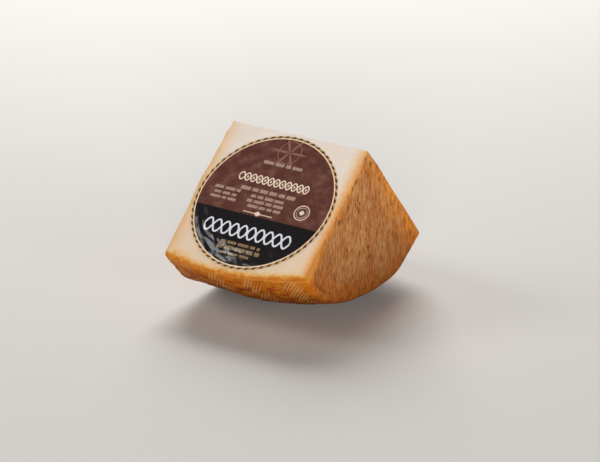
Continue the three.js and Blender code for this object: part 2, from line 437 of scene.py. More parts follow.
# %% The flat faces
def flat_face_patch(apex, corner, outwards):
    """A flat face as a square grid, a Coons patch: what lies between the front cut's line and the back arc,
    plus what lies between the back cut's line and the front arc, less what lies between the corners."""
    reach = corner[1] - RIM_ROUND
    s = np.linspace(0, 1, HALF_STEPS + 1)

    def flat(radius, angle):
        return np.stack(np.broadcast_arrays(radius * np.sin(angle), radius * np.cos(angle)), axis=-1)

    front_line = flat(reach * s, FRONT_CUT)[:, None, :]
    back_line = flat(reach * s, BACK_CUT)[None, :, :]
    front_arc = flat(reach, FRONT_ANGLES)[None, :, :]
    back_arc = flat(reach, BACK_ANGLES)[:, None, :]
    a, b = s[:, None, None], s[None, :, None]
    corners = (a * (1 - b) * flat(reach, FRONT_CUT) + b * (1 - a) * flat(reach, BACK_CUT)
               + a * b * flat(reach, MIDDLE))
    filled = (1 - b) * front_line + b * back_arc + (1 - a) * back_line + a * front_arc - corners
    radius = np.hypot(filled[..., 0], filled[..., 1])
    angle = np.arctan2(filled[..., 0], filled[..., 1])
    angle[0, 0] = MIDDLE
    radius[0, 0] = 0
    # the edges are set again, because the way there and back loses the last digits
    radius[:, 0], angle[:, 0] = reach * s, FRONT_CUT
    radius[0, :], angle[0, :] = reach * s, BACK_CUT
    radius[-1, :], angle[-1, :] = reach, FRONT_ANGLES
    radius[:, -1], angle[:, -1] = reach, BACK_ANGLES
    x = face_point(apex, corner, radius)[..., 0]
    ones = np.ones(radius.shape)
    normal = np.zeros(radius.shape + (2,))
    normal[..., 0] = outwards
    return dict(rind_points(x, radius, angle, ones, 0 * ones, normal),
                from_rim=reach - radius, rib=0 * ones, tone=0 * ones)


left_face = dict(flat_face_patch(LEFT_APEX, LEFT_CORNER, -1.0), material=RIND)
right_face = dict(flat_face_patch(RIGHT_APEX, RIGHT_CORNER, 1.0), material=RIND)
print("relief of the faces, mm:", span(left_face["height"]), span(right_face["height"]))

# %% Outline of a cut face
AXIS_STEPS = 44
# share of the distance from the right face that counts at the axis, by how much it grows, and to what radius
RIGHT_SMOKE = (0.6, 0.5, 60.0)
# share of the distance from the side that is taken off at the left, the x where that starts and its width
LEFT_SMOKE = (0.3, -20.0, 12.0)


def cut_outline(angle):
    """Closed outline of a cut face as points (x, radius): left face, side, right face and the axis."""
    def moved(x, radius):
        push = swelling(x, radius, angle)
        return np.column_stack([x + push[:, 0], np.where(radius == 0, 0, radius + push[:, 1])])

    s = np.linspace(0, 1, HALF_STEPS + 1)
    left_radius = s * (LEFT_CORNER[1] - RIM_ROUND)
    left = face_point(LEFT_APEX, LEFT_CORNER, left_radius)
    right_radius = s[::-1] * (RIGHT_CORNER[1] - RIM_ROUND)
    right = face_point(RIGHT_APEX, RIGHT_CORNER, right_radius)
    left_line = moved(left[:, 0], left[:, 1]) + EDGE_SOFT * np.array([1.0, 0.0])
    side_line = moved(PROFILE[:, 0], PROFILE[:, 1]) - EDGE_SOFT * NORMALS
    right_line = moved(right[:, 0], right[:, 1]) - EDGE_SOFT * np.array([1.0, 0.0])
    t = np.linspace(0, 1, AXIS_STEPS + 1)[1:-1, None]
    axis_line = right_line[-1] * (1 - t) + left_line[0] * t
    return np.vstack([left_line, side_line[1:-1], right_line, axis_line])


def rind_distance(x, radius):
    """Distances in mm on a cut face from the left face, from the right face and from the side. Smoke went
    deeper from the right face near the axis and from the side at its left end, so they count less there."""
    lean = LEFT_LEAN / LEFT_CORNER[1]
    left = (x + HALF_WIDTH - lean * radius) / math.hypot(1, lean)
    share, growth, until = RIGHT_SMOKE
    right = (HALF_WIDTH - x) * (share + growth * smooth(radius / until))
    u = (x + HALF_WIDTH - LEFT_LEAN) / (HALF_WIDTH - LEFT_LEAN / 2) - 1
    taken, start, width = LEFT_SMOKE
    side = (side_radius(np.clip(u, -1, 1)) - radius) * (1 - taken * smooth((start - x) / width))
    return left, right, side


print("points round a cut face:", len(cut_outline(FRONT_CUT)))

# %% The cut faces
# how far each ring has shrunk, from the rind at 0 to the middle of the face at 1
RING_SHARES = np.array([0, 0.008, 0.02, 0.04, 0.07, 0.11, 0.18, 0.3, 0.5, 0.75, 1.0])
# mm by which the paste has sunk behind its hard edge, the share at which it has, and the size of its waves
PASTE_DIP, DIP_SHARE, DIP_CELL = 0.12, 0.1, 9.0


def cut_patch(angle, outwards):
    """A cut face: its outline, shrunk ring by ring to a middle point, dipping a little and unevenly."""
    outline = cut_outline(angle)
    middle = np.array([0.0, RADIUS_RIGHT / 2])
    share = RING_SHARES[:, None, None]
    flat = outline[None] * (1 - share) + middle * share
    x, radius = flat[..., 0], flat[..., 1]
    points = place(x, radius, angle)
    uneven = 0.5 + 0.5 * noise(points / MM, DIP_CELL, 21)
    dip = PASTE_DIP * uneven * smooth(RING_SHARES / DIP_SHARE)[:, None]
    normal = outwards * np.array([0.0, -math.cos(angle), math.sin(angle)])
    points = points - (dip * MM)[..., None] * normal
    left, right, side = rind_distance(x, radius)
    return {"points": points, "left": left, "right": right, "side": side}


front_cut = dict(cut_patch(FRONT_CUT, 1.0), material=PASTE, closed=True)
back_cut = dict(cut_patch(BACK_CUT, -1.0), material=PASTE, closed=True)
print("points of a cut face:", front_cut["left"].size)

# %% [markdown]
# Joining the patches.
#
# Each grid becomes quads, and the points that two patches share are merged, so the
# quarter is one closed skin. What the materials need to know about a point, such
# as how far it lies under the rind, is kept on it as an attribute.

# %% Grids to one mesh
# metres within which points are merged, and the angle from which an edge stays sharp
MERGE_WITHIN = 1e-6
SHARP_FROM = math.radians(50)


def grid_quads(rows, columns, start, closed=False, flip=False):
    """Corner numbers of a grid's quads. A closed grid joins its last column to its first."""
    index = start + np.arange(rows * columns).reshape(rows, columns)
    if closed:
        index = np.concatenate([index, index[:, :1]], axis=1)
    quads = np.stack([index[:-1, :-1], index[:-1, 1:], index[1:, 1:], index[1:, :-1]], axis=-1)
    quads = quads.reshape(-1, 4)
    return quads[:, ::-1] if flip else quads


def mesh_from_grids(name, grids, names):
    """One mesh of several grids, shared points merged and quads of no width dropped."""
    points, quads, slots, start = [], [], [], 0
    values = {key: [] for key in names}
    for grid in grids:
        rows, columns = grid["points"].shape[:2]
        points.append(grid["points"].reshape(-1, 3))
        faces = grid_quads(rows, columns, start, grid.get("closed", False), grid.get("flip", False))
        quads.append(faces)
        slots.append(np.full(len(faces), grid["material"]))
        for key in names:
            value = np.broadcast_to(grid.get(key, 0.0), (rows, columns))
            values[key].append(np.asarray(value, dtype=np.float32).ravel())
        start += rows * columns
    mesh = bpy.data.meshes.new(name)
    mesh.from_pydata(np.vstack(points).tolist(), [], np.vstack(quads).tolist())
    mesh.polygons.foreach_set("material_index", np.concatenate(slots).astype(np.int32))
    for key in names:
        layer = mesh.attributes.new(key, "FLOAT", "POINT")
        layer.data.foreach_set("value", np.concatenate(values[key]))
    work = bmesh.new()
    work.from_mesh(mesh)
    bmesh.ops.remove_doubles(work, verts=work.verts, dist=MERGE_WITHIN)
    bmesh.ops.recalc_face_normals(work, faces=work.faces)
    open_edges = sum(1 for edge in work.edges if not edge.is_manifold)
    work.to_mesh(mesh)
    work.free()
    mesh.polygons.foreach_set("use_smooth", np.ones(len(mesh.polygons), dtype=bool))
    mesh.set_sharp_from_angle(angle=SHARP_FROM)
    piece = bpy.data.objects.new(name, mesh)
    bpy.context.scene.collection.objects.link(piece)
    mesh.calc_loop_triangles()
    print(name, "triangles:", len(mesh.loop_triangles), " open edges:", open_edges)
    return piece


# %% The quarter
quarter = mesh_from_grids(
    "cheese_quarter", [side, left_face, right_face, front_cut, back_cut],
    ["on_face", "height", "pit", "from_front", "from_back", "from_rim", "rib", "tone",
     "left", "right", "side"])

# %% [markdown]
# The label.
#
# The real one is thin glossy paper, round, with a rope border whose strands give it
# a lobed edge. It creased where it was smoothed down over the cheese, and at the
# lower left it has crumpled and stands a little higher. It is a disc on a grid of
# rings and spokes, raised by its creases, with a thin wall and a plain back.

# %% Creases of the label
# u and v of the middle in mm, direction of the crease in degrees, length, width, height
CREASES = {
    "long crease along the lower left border": (-24, -27, -48, 17, 1.5, 0.16),
    "second crease inside it": (-20, -24, -40, 12, 1.2, 0.12),
    "short crease at the left": (-30, -19, -62, 7, 1.1, 0.12),
    "crease under the dark field's band": (-11, -31, -24, 10, 1.3, 0.12),
    "faint crease at the bottom": (2, -33, -4, 9, 1.4, 0.08),
    "faint crease at the right": (22, -25, 44, 8, 1.5, 0.06),
}
# where the paper has crumpled: its middle as a turn and a radius, its reach both ways, and its height;
# then the radius, width and height of the swell that runs along it
CRUMPLED = (math.radians(-101), 32, 0.85, 10.0, 0.15)
CRUMPLED_SWELL = (27, 7, 0.6)


def crease_height(u, v):
    """Height of the creases in mm: long bells along their directions and fine bumps where it has crumpled,
    all broken up by noise, and a low swell along the border there."""
    flat = np.stack([u, v, 0 * u], axis=-1)
    broken = 0.55 + 0.45 * noise(flat, 3.2, 31)
    total = 0.03 * (1 + noise(flat, 8.0, 32))
    for cu, cv, degrees, length, width, height in CREASES.values():
        along = np.array([math.cos(math.radians(degrees)), math.sin(math.radians(degrees))])
        p = (u - cu) * along[0] + (v - cv) * along[1]
        q = (v - cv) * along[0] - (u - cu) * along[1] + 0.6 * noise(flat, 5.0, 33)
        total = total + height * broken * np.exp(-(p / length) ** 2 - (q / width) ** 2)
    middle_turn, middle_radius, turn_reach, reach, height = CRUMPLED
    turn, out = np.arctan2(v, u), np.hypot(u, v)
    near = np.exp(-((turn - middle_turn) / turn_reach) ** 2 - ((out - middle_radius) / reach) ** 2)
    curled = np.stack([30 * turn, out + 0.8 * noise(flat, 6.0, 36), 0 * u], axis=-1)
    bumps = noise(curled, (4.4, 1.9, 1), 34) + 0.4 * noise(curled, (2.0, 1.2, 1), 35)
    swell_radius, swell_width, swell_height = CRUMPLED_SWELL
    swell = swell_height * np.exp(-((out - swell_radius) / swell_width) ** 2)
    return total + near * (height * (1.4 + bumps) + swell)


print("height of the creases, mm:", span(crease_height(*np.meshgrid(*[np.linspace(-28, 28, 60)] * 2))))

# %% Rings and spokes of the label
LABEL_RADIUS = 40.2
LABEL_X = -0.7
LABEL_FROM_AXIS = 41.6
LABEL_RINGS = 108
# lobes of the edge, their depth, and how far inwards they reach
SCALLOPS = 60
SCALLOP_DEPTH, SCALLOP_REACH = 0.4, 3.0
SPOKES = SCALLOPS * 10
# mm from the cheese to the paper's back and to its face where it has no creases
BACK_LIFT, FACE_LIFT = 0.04, 0.26
# how far the rounded edge falls, and how far inwards it reaches
EDGE_ROUNDING, EDGE_REACH = 0.06, 0.5


def on_cut_face(u, v, lift):
    """Label coordinates to the frame: u along the axis, v up the cut face, lift straight out of it."""
    down = LABEL_FROM_AXIS - v
    points = np.stack(np.broadcast_arrays(
        AXIS_X + LABEL_X + u,
        AXIS_Y - down * math.sin(FRONT_CUT) - lift * math.cos(FRONT_CUT),
        AXIS_HEIGHT - down * math.cos(FRONT_CUT) + lift * math.sin(FRONT_CUT)), axis=-1)
    return points * MM


def label_grids():
    """Face, wall and back of the label as grids of rings and spokes. A lobe is the size of a sine."""
    turn = 2 * np.pi * np.arange(SPOKES) / SPOKES
    notch = SCALLOP_DEPTH * (1 - np.abs(np.sin(turn * SCALLOPS / 2)))
    ring = np.linspace(0, LABEL_RADIUS, LABEL_RINGS + 1)[:, None]
    radius = ring - notch * smooth(1 + (ring - LABEL_RADIUS) / SCALLOP_REACH)
    u, v = radius * np.cos(turn), radius * np.sin(turn)
    rounding = EDGE_ROUNDING * smooth(1 + (ring - LABEL_RADIUS) / EDGE_REACH)
    lift = FACE_LIFT + crease_height(u, v) - rounding
    back_u, back_v = (np.array([1.0, 0.5, 0.0])[:, None] * edge[-1] for edge in (u, v))
    face = {"points": on_cut_face(u, v, lift), "u": u, "v": v, "radius": radius}
    wall = {"points": np.stack([face["points"][-1], on_cut_face(u[-1], v[-1], BACK_LIFT)]),
            "u": np.stack([u[-1]] * 2), "v": np.stack([v[-1]] * 2), "radius": np.stack([radius[-1]] * 2)}
    back = {"points": on_cut_face(back_u, back_v, BACK_LIFT), "u": back_u, "v": back_v, "radius": 0 * back_u}
    return [dict(grid, closed=True, material=0) for grid in (face, wall, back)]


grids = label_grids()
print("label across, mm:", 2 * LABEL_RADIUS, " points:", sum(grid["u"].size for grid in grids))

# %% [markdown]
# The label's print.
#
# It is fields of colour and simple shapes: a brown field over a dark one, cream
# plaits and hoops, rows of ticks, a faint star and a rope round the edge. Each shape
# is a signed distance in millimetres, below 0 inside it, and a union is the smaller
# of two distances. The distances are kept on the label's points. Between two points
# they change evenly, so the edge that the material draws at 0 is sharper than the
# grid.

# %% Single shapes as distances
def bar(u, v, middle, half, round_by=0.2):
    """Distance to a bar with rounded corners: how far a point is past its half sizes."""
    past_u = np.abs(u - middle[0]) - half[0] + round_by
    past_v = np.abs(v - middle[1]) - half[1] + round_by
    outside = np.hypot(np.maximum(past_u, 0), np.maximum(past_v, 0))
    return outside + np.minimum(np.maximum(past_u, past_v), 0) - round_by


def lozenge(u, v, middle, half):
    """Distance to a lozenge: the sum of both offsets, each over its half size."""
    share = np.abs(u - middle[0]) / half[0] + np.abs(v - middle[1]) / half[1]
    return (share - 1) * half[0] * half[1] / math.hypot(*half)


def hoop(u, v, middle, radius, line):
    """Distance to a line of that width round a circle."""
    return np.abs(np.hypot(u - middle[0], v - middle[1]) - radius) - line / 2


def wave(u, v, middle, half_length, height, length, phase, line):
    """Distance to a wavy line: the offset from a sine, made shorter where the sine is steep."""
    turn = 2 * math.pi * (u - middle[0]) / length + phase
    offset = v - middle[1] - height * np.sin(turn)
    slope = height * 2 * math.pi / length * np.cos(turn)
    ends = np.abs(u - middle[0]) - half_length
    return np.maximum(np.abs(offset) / np.hypot(1, slope) - line / 2, ends)


print("distance across a bar, mm:", span(bar(0.0, np.linspace(-2, 2, 41), (0, 0), (3, 1))))

# %% Plaits, hoops and lozenges
# of each plait: its middle, half its length, the height and length of its waves and the width of its line,
# then u of its first lozenge, how many there are and half their size
PLAITS = [((0, -19), 26.5, 3.6, 10.6, 1.0, -10.6, 5, (1.1, 1.5)),
          ((0, 12), 21.6, 2.2, 7.2, 0.75, -16.2, 11, (0.7, 0.9))]
HOOP_MIDDLE = (24, -1)
RULE_MIDDLE = (0, -7.4)


def large_shapes(u, v):
    """Distance to the large ornaments: two plaits with their lozenges, a hoop and a rule."""
    found = [hoop(u, v, HOOP_MIDDLE, 4.2, 0.5), hoop(u, v, HOOP_MIDDLE, 3.0, 0.3),
             lozenge(u, v, HOOP_MIDDLE, (1.6, 1.6)),
             bar(u, v, RULE_MIDDLE, (9, 0.22)), lozenge(u, v, RULE_MIDDLE, (2.2, 1.5))]
    for middle, half_length, height, length, line, first, count, half in PLAITS:
        found += [wave(u, v, middle, half_length, height, length, phase, line) for phase in (0, math.pi)]
        found += [lozenge(u, v, (first + length / 2 * k, middle[1]), half) for k in range(count)]
    return np.minimum.reduce(found)


for grid in grids:
    grid["large"] = large_shapes(grid["u"], grid["v"])
print("points in the large ornaments:", int((grids[0]["large"] < 0).sum()))

# %% Rows and star
# of each row: its middle, half its length and half its height
ROWS = [(0, 22.5, 12, 0.9), (0, 5.6, 17, 1.0), (-24, 3.0, 8, 0.8), (-24, 0.0, 7, 0.7),
        (-24, -2.8, 8, 0.7), (2, 2.0, 11, 0.8), (2, -0.9, 12, 0.8), (2, -3.8, 10, 0.8),
        (0, -26.6, 12, 0.8), (0, -29.6, 13, 1.0), (0, -32.6, 9, 0.6)]
# lengths that a bar of a row can have, the least room that the last one needs, and the gap after a bar
BAR_LENGTHS, SHORTEST_BAR, BAR_GAP = (2.4, 6.5), 1.0, 1.1
STAR_MIDDLE, STAR_RADIUS, STAR_LINE = (0, 30.6), 6.6, 0.5


def small_rows(u, v):
    """Distance to the rows: bars of seeded lengths from the left end of each row to its right end."""
    rng = np.random.default_rng(41)
    found = []
    for mu, mv, half_length, half_height in ROWS:
        left = mu - half_length
        while left < mu + half_length - SHORTEST_BAR:
            length = min(rng.uniform(*BAR_LENGTHS), mu + half_length - left)
            found.append(bar(u, v, (left + length / 2, mv), (length / 2, half_height)))
            left += length + BAR_GAP
    return np.minimum.reduce(found)


def star(u, v):
    """Distance to a star on a hoop: six arms, narrower the further out they are, from a sine of the turn."""
    turn = np.arctan2(v - STAR_MIDDLE[1], u - STAR_MIDDLE[0])
    out = np.hypot(u - STAR_MIDDLE[0], v - STAR_MIDDLE[1])
    arms = np.abs(np.sin(turn * 3)) * 2.2 + out / STAR_RADIUS - 1.6
    return np.minimum(arms, hoop(u, v, STAR_MIDDLE, STAR_RADIUS, STAR_LINE))


for grid in grids:
    grid["small"] = small_rows(grid["u"], grid["v"])
    grid["star"] = star(grid["u"], grid["v"])
label = mesh_from_grids("paper_label", grids, ["u", "v", "radius", "large", "small", "star"])

# %% [markdown]
# Helpers for the materials.
#
# A material here is a tree of nodes. One function adds a node, sets it and links
# it. One turns a colour as picked on screen into the linear values that the shader
# wants, and one turns the size of a pattern in millimetres into its scale.

# %% Colours and nodes
def colour(text):
    """sRGB hex colour as linear red, green, blue and alpha."""
    srgb = np.array([int(text[i:i + 2], 16) for i in (1, 3, 5)]) / 255
    linear = np.where(srgb <= 0.04045, srgb / 12.92, ((srgb + 0.055) / 1.055) ** 2.4)
    return (*linear.tolist(), 1.0)


def add(tree, kind, settings=None, sockets=None, stops=None, out=None):
    """Add a node and return the output that out names, or else its first one in use. Settings are its own
    options, sockets take a value or another node's output, and stops are a ramp's places and colours. A
    socket goes by its name or by its number among those in use: a Mix node has some that are not."""
    node = tree.nodes.new("ShaderNode" + kind)
    for name, value in (settings or {}).items():
        setattr(node, name, value)
    in_use = [socket for socket in node.inputs if socket.enabled]
    for key, value in (sockets or {}).items():
        socket = in_use[key] if isinstance(key, int) else node.inputs[key]
        if isinstance(value, bpy.types.NodeSocket):
            tree.links.new(value, socket)
        else:
            socket.default_value = value
    for number, (position, value) in enumerate(stops or []):
        elements = node.color_ramp.elements
        stop = elements[number] if number < len(elements) else elements.new(position)
        stop.position = position
        stop.color = value
    return node.outputs[out] if out else next((socket for socket in node.outputs if socket.enabled), None)


def new_material(name, finish):
    """A material with that finish: its tree, and its Principled shader already linked to the output."""
    material = bpy.data.materials.new(name)
    material.use_nodes = True
    material.node_tree.nodes.clear()
    surface = add(material.node_tree, "BsdfPrincipled", sockets=finish)
    add(material.node_tree, "OutputMaterial", sockets={"Surface": surface})
    return material, material.node_tree, surface.node


def scale_of(size):
    """Scale of a pattern whose blotches are that many mm across: how many of them a metre holds."""
    return 1 / (size * MM)


print("ivory in linear values:", [round(value, 3) for value in colour("#EFE2D5")])

# %% [markdown]
# The paste, cut with a knife.
#
# Cured sheep cheese is an ivory paste, dense and a little fatty, so it shines
# softly and lets some light in. Under the rind it has dried and taken smoke. Under
# the printed side that shows as an orange band of about 3 mm, on the right as a
# thin yellow one and on the left as a faint peach tint. Each of the three is a ramp
# of the distance from its rind, wobbled by noise, and the darkest one at a point
# tints the paste.

# %% Paste: the stain under the rind
material, tree, shader = new_material("knife_cut_cured_paste", {
    "Roughness": 0.42, "IOR": 1.46, "Specular IOR Level": 0.3, "Subsurface Weight": 0.05,
    "Subsurface Radius": (1.0, 0.55, 0.3), "Subsurface Scale": 0.0015})
# sizes in mm of the border's bays, of the mottle of the fat and of the grain, which is drawn coarser to show
BORDER_BAY, FAT_CLOUD, PASTE_GRAIN = 2.381, 8.333, 1.4286
place_of = add(tree, "TexCoord", out="Object")
wobble = add(tree, "TexNoise", sockets={"Vector": place_of, "Scale": scale_of(BORDER_BAY), "Detail": 4.0,
                                        "Roughness": 0.6})
# distance attribute, width of the wobble in mm, and the stain from the rind to 10 mm under it
STAINS = {
    "side": (1.1, [(0.0, "#CE8014"), (0.1, "#DC9018"), (0.18, "#E6A834"), (0.25, "#F5CA74"),
                   (0.33, "#FCE2AC"), (0.42, "#FFF1D8"), (0.6, "#FFFFFF")]),
    "right": (0.5, [(0.0, "#E4A652"), (0.07, "#F4BC76"), (0.15, "#FCCF96"), (0.25, "#FDDDB2"),
                    (0.4, "#FFF1DE"), (0.6, "#FFFFFF")]),
    "left": (0.6, [(0.0, "#F6D8AC"), (0.1, "#FBE2C0"), (0.2, "#FCE8CC"), (0.35, "#FEF2E2"),
                   (0.8, "#FFFFFF")]),
}
smoked = colour("#FFFFFF")
for edge, (wobble_width, stain) in STAINS.items():
    distance = add(tree, "Attribute", {"attribute_name": edge}, out="Fac")
    shift = add(tree, "MapRange", sockets={"Value": wobble, "From Min": 0.3, "From Max": 0.7,
                                           "To Min": -wobble_width, "To Max": wobble_width})
    under = add(tree, "Math", {"operation": "ADD"}, {0: distance, 1: shift})
    depth = add(tree, "MapRange", sockets={"Value": under, "From Min": 0.0, "From Max": 10.0})
    ramp = add(tree, "ValToRGB", sockets={"Fac": depth},
               stops=[(position, colour(text)) for position, text in stain])
    smoked = add(tree, "Mix", {"data_type": "RGBA", "blend_type": "DARKEN"}, {0: 1.0, 1: smoked, 2: ramp})
print("stains of the paste:", len(STAINS))

# %% Paste: the colour itself
height_of = add(tree, "SeparateXYZ", sockets={"Vector": place_of}, out="Z")
# it is warmer below and paler above, in metres from the ground
upper = add(tree, "MapRange", {"interpolation_type": "SMOOTHSTEP"},
            {"Value": height_of, "From Min": 0.035, "From Max": 0.083})
paste_colour = add(tree, "Mix", {"data_type": "RGBA"},
                   {0: upper, 1: colour("#E6CCAF"), 2: colour("#EFE2D5")})
fat = add(tree, "TexNoise", sockets={"Vector": place_of, "Scale": scale_of(FAT_CLOUD), "Detail": 4.0})
mottle = add(tree, "ValToRGB", sockets={"Fac": fat}, stops=[
    (0.35, colour("#FBF8F4")), (0.65, colour("#FFFFFF"))])
for layer in (smoked, mottle):
    paste_colour = add(tree, "Mix", {"data_type": "RGBA", "blend_type": "MULTIPLY"},
                       {0: 1.0, 1: paste_colour, 2: layer})
grain = add(tree, "TexNoise", sockets={"Vector": place_of, "Scale": scale_of(PASTE_GRAIN), "Detail": 4.0})
bump = add(tree, "Bump", sockets={"Height": grain, "Strength": 0.2, "Distance": 0.0003})
tree.links.new(paste_colour, shader.inputs["Base Color"])
tree.links.new(bump, shader.inputs["Normal"])
paste = material
print("paste, nodes:", len(tree.nodes))

# %% [markdown]
# The rind, smoked and oiled.
#
# Smoke and oil have stained it, and the oil has soaked in, so it is nearly matt. The
# flat faces are tan-brown with fine upright streaks and a few dark pits, and more
# orange towards the rim and the cuts. The side is golden orange, pale on top of the
# ribs and dark in the grooves, redder and yellower in patches, and brightest along
# the cut. The pale tops of the ribs are partly a painted highlight, and a thin pale
# line along each cut edge is painted rim light. The whole rind is painted darker
# towards the bottom: that is painted shade. It could be one painted picture, but the
# relief is known at every point, so each stain and painted light is a layer that
# follows it, from the bottom up.

# %% Rind: the flat faces
material, tree, shader = new_material("smoked_oiled_rind", {
    "Roughness": 0.6, "IOR": 1.46, "Specular IOR Level": 0.05})
# mm across a blotch of a face, a patch of the side and a speck
BLOTCH, PATCH, SPECK = 7.692, 4.762, 0.909
# mm that a fibre reaches into a face, across it and up it
FIBRE_DEEP, FIBRE_WIDE, FIBRE_TALL = 2.5, 1.163, 4.348
place_of = add(tree, "TexCoord", out="Object")
known = {name: add(tree, "Attribute", {"attribute_name": name}, out="Fac")
         for name in ("on_face", "height", "pit", "from_front", "from_back", "from_rim", "rib", "tone")}
blotches = add(tree, "TexNoise", sockets={"Vector": place_of, "Scale": scale_of(BLOTCH), "Detail": 4.0})
spread = add(tree, "MapRange", sockets={"Value": blotches, "From Min": 0.3, "From Max": 0.7,
                                        "To Min": -3.0, "To Max": 3.0})
face_colour = add(tree, "ValToRGB", sockets={"Fac": blotches}, stops=[
    (0.35, colour("#C0814A")), (0.5, colour("#C88B54")), (0.65, colour("#CE9862"))])
# distance, how far the stain reaches in mm, how strong it is and its colour
FACE_STAINS = [("from_rim", 14.0, 0.55, "#DC801E"), ("from_back", 18.0, 0.6, "#EE9638"),
               ("from_back", 7.0, 0.5, "#FFA83A"), ("from_front", 7.0, 0.6, "#E8923A")]
for distance, reach, strength, text in FACE_STAINS:
    wobbled = add(tree, "Math", {"operation": "ADD"}, {0: known[distance], 1: spread})
    near = add(tree, "MapRange", {"interpolation_type": "SMOOTHSTEP"},
               {"Value": wobbled, "From Min": -1.0, "From Max": reach, "To Min": strength, "To Max": 0.0})
    face_colour = add(tree, "Mix", {"data_type": "RGBA"}, {0: near, 1: face_colour, 2: colour(text)})
print("stains of the faces:", len(FACE_STAINS))

# %% Rind: the side
height_share = add(tree, "MapRange", sockets={"Value": known["height"], "From Min": -0.3, "From Max": 0.25})
side_colour = add(tree, "ValToRGB", sockets={"Fac": height_share}, stops=[
    (0.0, colour("#8A460C")), (0.45, colour("#D67C14")), (0.8, colour("#E49428"))])
patchy = add(tree, "TexNoise", sockets={"Vector": place_of, "Scale": scale_of(PATCH), "Detail": 4.0})
from_cut = add(tree, "Math", {"operation": "MINIMUM"}, {0: known["from_front"], 1: known["from_back"]})
# value that is looked at, from where to where the stain grows, how strong it gets and its colour
SIDE_STAINS = [(known["tone"], 0.0, -1.0, 0.75, "#AC4A20"), (known["tone"], 0.0, 1.0, 0.65, "#9C7A30"),
               (patchy, 0.5, 0.34, 0.85, "#983F18"), (patchy, 0.52, 0.72, 0.8, "#E68A18"),
               (from_cut, 6.5, 0.0, 0.8, "#E28A20")]
for value, start, end, strength, text in SIDE_STAINS:
    share = add(tree, "MapRange", sockets={"Value": value, "From Min": start, "From Max": end,
                                           "To Max": strength})
    side_colour = add(tree, "Mix", {"data_type": "RGBA"}, {0: share, 1: side_colour, 2: colour(text)})
print("stains of the side:", len(SIDE_STAINS))

# %% Rind: fibres, painted rim light and painted shade
upright = add(tree, "Mapping", sockets={"Vector": place_of, "Scale": (
    scale_of(FIBRE_DEEP), scale_of(FIBRE_WIDE), scale_of(FIBRE_TALL))})
streaks = add(tree, "TexNoise", sockets={"Vector": upright, "Scale": 1.0, "Detail": 3.0, "Roughness": 0.6})
specks = add(tree, "TexNoise", sockets={"Vector": place_of, "Scale": scale_of(SPECK), "Detail": 2.0})
fibres = add(tree, "Math", {"operation": "MULTIPLY_ADD"}, {0: specks, 1: 0.4, 2: streaks})
fibre_tint = add(tree, "ValToRGB", sockets={"Fac": fibres}, stops=[
    (0.53, colour("#BCA08E")), (0.66, colour("#E6DCD4")), (0.82, colour("#FFFFFF"))])
fibres_show = add(tree, "MapRange", sockets={"Value": known["on_face"], "To Min": 0.5})
# painted rim light: a thin pale line within 1.2 mm of each cut edge
painted_rim_light = add(tree, "MapRange", sockets={"Value": from_cut, "From Min": 1.2, "From Max": 0.0, "To Max": 0.6})
# pale tops of the ribs: partly their own colour, partly a painted highlight on them
high = add(tree, "MapRange", sockets={"Value": height_share, "From Min": 0.5, "From Max": 0.95,
                                      "To Max": 0.65})
rib_tops_and_painted_highlight = add(tree, "Math", {"operation": "MULTIPLY"}, {0: high, 1: known["rib"]})
# painted shade: the rind's colour is made darker towards the bottom, by height over the ground
height_of = add(tree, "SeparateXYZ", sockets={"Vector": place_of}, out="Z")
upper = add(tree, "MapRange", sockets={"Value": height_of, "From Max": 0.085})
painted_shade = add(tree, "ValToRGB", sockets={"Fac": upper}, stops=[
    (0.02, colour("#62564A")), (0.14, colour("#9C8E80")), (0.3, colour("#CEC4BA")),
    (0.5, colour("#E6E2DE")), (0.8, colour("#F2EFEC")), (0.98, colour("#FFFFFF"))])
painted_shade_shows = add(tree, "MapRange", sockets={"Value": known["on_face"], "To Min": 1.0, "To Max": 0.85})
print("rind, nodes before the layers:", len(tree.nodes))

# %% Rind: the layers
# how a layer is laid on, how much of it shows and its colour
LAYERS = [("MIX", known["on_face"], face_colour), ("MIX", painted_rim_light, colour("#EEAE5C")),
          ("MIX", rib_tops_and_painted_highlight, colour("#F2C07C")), ("MULTIPLY", fibres_show, fibre_tint),
          ("MIX", known["pit"], colour("#5A2E10")), ("MULTIPLY", painted_shade_shows, painted_shade)]
rind_colour = side_colour
for blend, share, layer in LAYERS:
    rind_colour = add(tree, "Mix", {"data_type": "RGBA", "blend_type": blend},
                      {0: share, 1: rind_colour, 2: layer})
bump = add(tree, "Bump", sockets={"Height": fibres, "Strength": 0.4, "Distance": 0.0004})
tree.links.new(rind_colour, shader.inputs["Base Color"])
tree.links.new(bump, shader.inputs["Normal"])
quarter.data.materials.append(material)
quarter.data.materials.append(paste)
print("rind, nodes:", len(tree.nodes))

# %% [markdown]
# The label's paper and ink.
#
# Coated paper, printed, with a gloss varnish over all but the rope: smooth enough to
# glint where it has creased. The fields and shapes are drawn from the distances on
# its points, each laid over the one before.

# %% Label: fields and star
material, tree, shader = new_material("varnished_printed_paper", {"IOR": 1.5})
known = {name: add(tree, "Attribute", {"attribute_name": name}, out="Fac")
         for name in ("u", "v", "radius", "large", "small", "star")}
place_of = add(tree, "TexCoord", out="Object")
